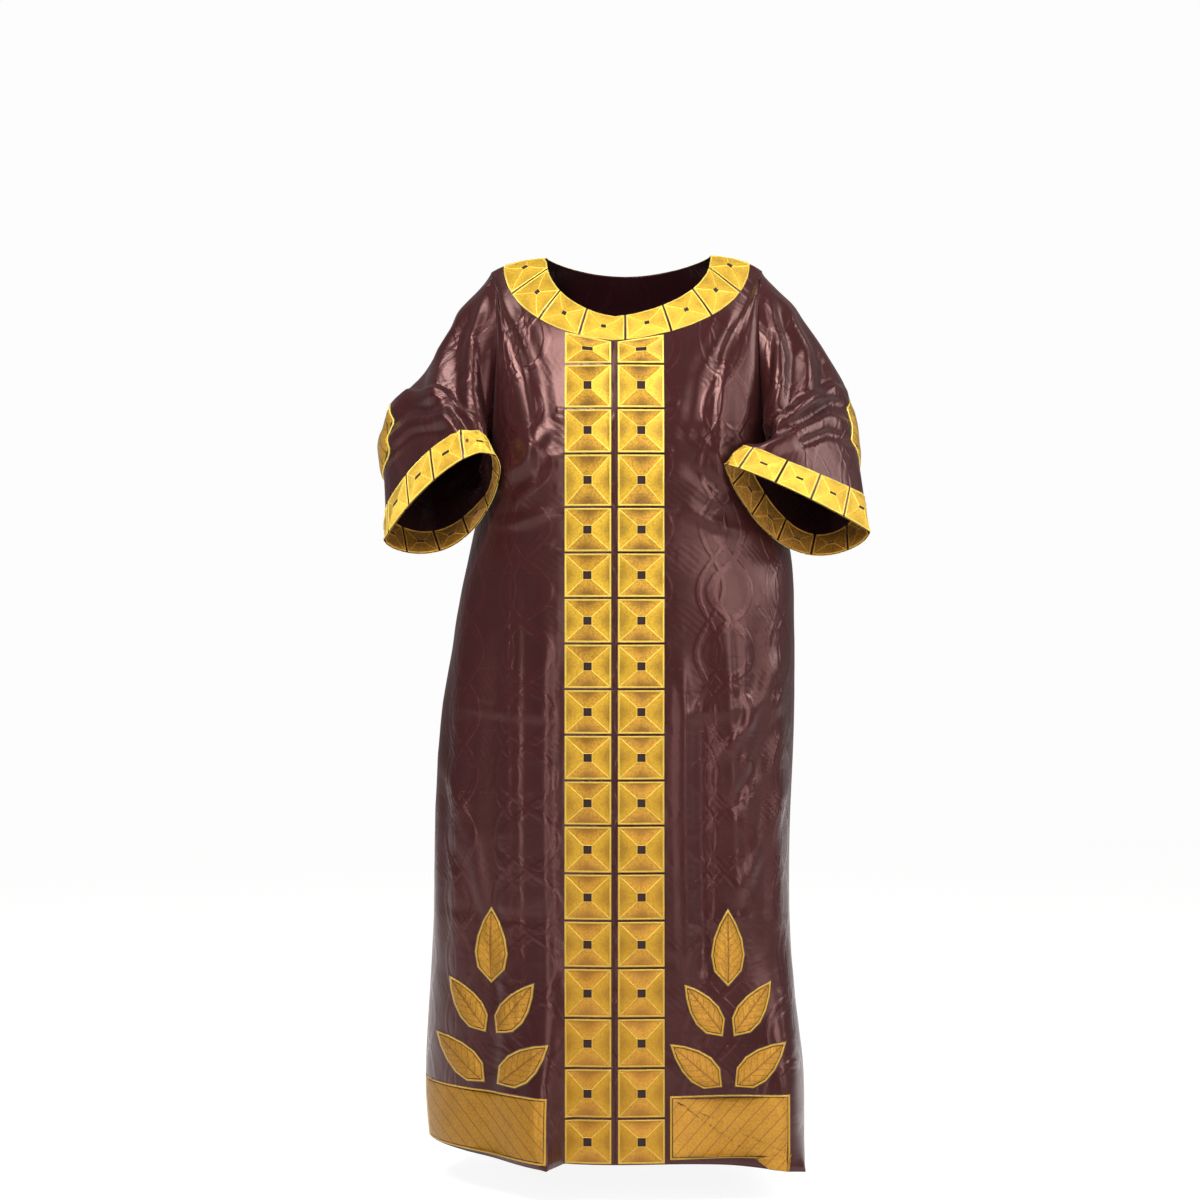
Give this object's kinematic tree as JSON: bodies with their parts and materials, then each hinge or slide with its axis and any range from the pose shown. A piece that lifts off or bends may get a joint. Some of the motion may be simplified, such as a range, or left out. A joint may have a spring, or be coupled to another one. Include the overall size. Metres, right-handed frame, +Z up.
{
  "type": "grand boubou robe",
  "caption": "Long wide-sleeved robe with a scooped neck, a gold neckband, columns of gold squares down the front, gold cuffs and gold hem corners.",
  "frame": {"origin": "Level with the shoulder line, midway between the ends of the shoulder seams, where the robe hangs from the wearer's shoulders.", "axes": "+X to the side of the right-hand sleeve as the robe is looked at from the front, -Y toward the front of the robe, +Z up."},
  "size_m": [0.7637, 0.4477, 1.4124],
  "materials": {
    "bazin": "polished cotton damask",
    "gold": "satin-faced appliqué",
    "gold_facing": "satin-faced appliqué, inner side"
  },
  "bodies": {
    "root": {"front_panel": "bazin", "back_panel": "bazin", "neckband_front": "gold", "neckband_back": "gold", "sleeve_left": "bazin", "cuff_band_left": "gold", "cuff_facing_left": "gold_facing", "sleeve_right": "bazin", "cuff_band_right": "gold", "cuff_facing_right": "gold_facing", "square_left_1": "gold", "square_left_2": "gold", "square_left_3": "gold", "square_left_4": "gold", "square_left_5": "gold", "square_left_6": "gold", "square_left_7": "gold", "square_left_8": "gold", "square_left_9": "gold", "square_left_10": "gold", "square_left_11": "gold", "square_left_12": "gold", "square_left_13": "gold", "square_left_14": "gold", "square_left_15": "gold", "square_left_16": "gold", "square_left_17": "gold", "square_left_18": "gold", "square_right_1": "gold", "square_right_2": "gold", "square_right_3": "gold", "square_right_4": "gold", "square_right_5": "gold", "square_right_6": "gold", "square_right_7": "gold", "square_right_8": "gold", "square_right_9": "gold", "square_right_10": "gold", "square_right_11": "gold", "square_right_12": "gold", "square_right_13": "gold", "square_right_14": "gold", "square_right_15": "gold", "square_right_16": "gold", "square_right_17": "gold", "square_right_18": "gold", "hem_border_left": "gold", "hem_border_right": "gold", "hem_leaf_left_1": "gold", "hem_leaf_left_2": "gold", "hem_leaf_left_3": "gold", "hem_leaf_left_4": "gold", "hem_leaf_left_5": "gold", "hem_leaf_right_1": "gold", "hem_leaf_right_2": "gold", "hem_leaf_right_3": "gold", "hem_leaf_right_4": "gold", "hem_leaf_right_5": "gold", "sleeve_lozenge_left": "gold", "sleeve_lozenge_right": "gold"}
  },
  "joints": []
}
